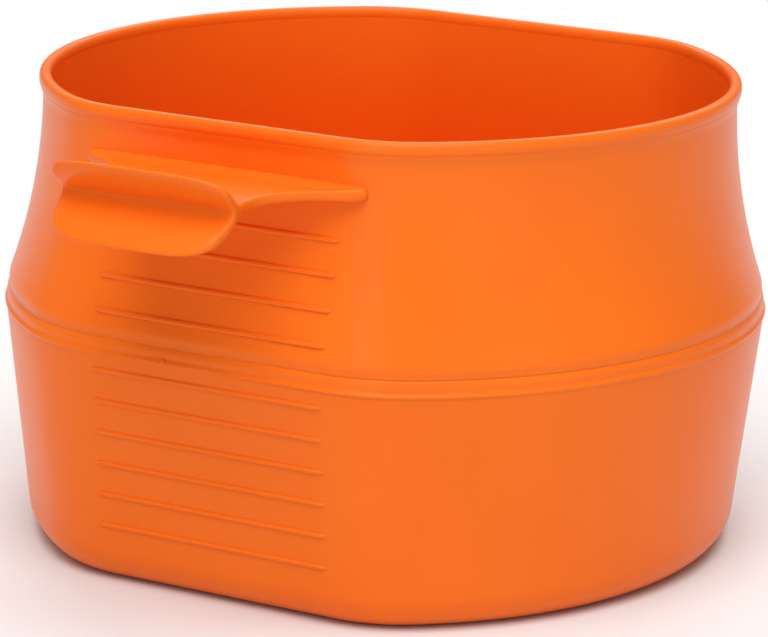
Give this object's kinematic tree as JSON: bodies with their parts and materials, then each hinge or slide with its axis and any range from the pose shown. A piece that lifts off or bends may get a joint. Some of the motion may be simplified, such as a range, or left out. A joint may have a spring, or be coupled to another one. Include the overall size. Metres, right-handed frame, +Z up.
{
  "type": "collapsible travel cup",
  "caption": "Oval collapsible cup with two flat sides, a fold ring half way up, a rounded rim and a small winged finger handle.",
  "frame": {"origin": "middle of the cup's underside, on the surface it stands on", "axes": "+Z up to the rim; X along the cup's length, across the rounded ends; the flat sides face +Y and -Y, and the handle is on the -Y side"},
  "size_m": [0.094, 0.1048, 0.058],
  "materials": {
    "cup_plastic": "satin"
  },
  "bodies": {
    "base": {"cup_floor": "cup_plastic", "base_rounding": "cup_plastic", "lower_wall": "cup_plastic", "fold_ring": "cup_plastic", "lower_volume_lines": "cup_plastic"},
    "skirt": {"upper_skirt": "cup_plastic", "skirt_volume_lines": "cup_plastic"},
    "collar": {"upper_collar": "cup_plastic", "collar_volume_line": "cup_plastic"},
    "rim": {"rim_bead": "cup_plastic"},
    "handle": {"handle_shelf": "cup_plastic", "handle_upper_wing": "cup_plastic", "handle_lower_wing": "cup_plastic"}
  },
  "joints": [
    {"name": "rim_push", "type": "slide", "parent": "base", "child": "rim", "axis": [0, 0, -1], "range_m": [0, 0.05], "deforming": ["rim_bead", "upper_skirt", "upper_collar", "skirt_volume_lines", "collar_volume_line"]},
    {"name": "skirt_roll", "type": "slide", "parent": "base", "child": "skirt", "axis": [0, 0, -1], "range_m": [0, 0.0125]},
    {"name": "collar_push", "type": "slide", "parent": "base", "child": "collar", "axis": [0, 0, -1], "range_m": [0, 0.0375]},
    {"name": "handle_flip", "type": "hinge", "parent": "collar", "child": "handle", "pos_m": [0, -0.03904, 0.0517], "axis": [-1, 0, 0], "range_deg": [0, 171.6]}
  ],
  "couplings": [
    {"joint": "skirt_roll", "follows": "rim_push", "ratio": 0.25},
    {"joint": "collar_push", "follows": "rim_push", "ratio": 0.75},
    {"joint": "handle_flip", "follows": "rim_push", "rad_per_m": 59.88}
  ]
}
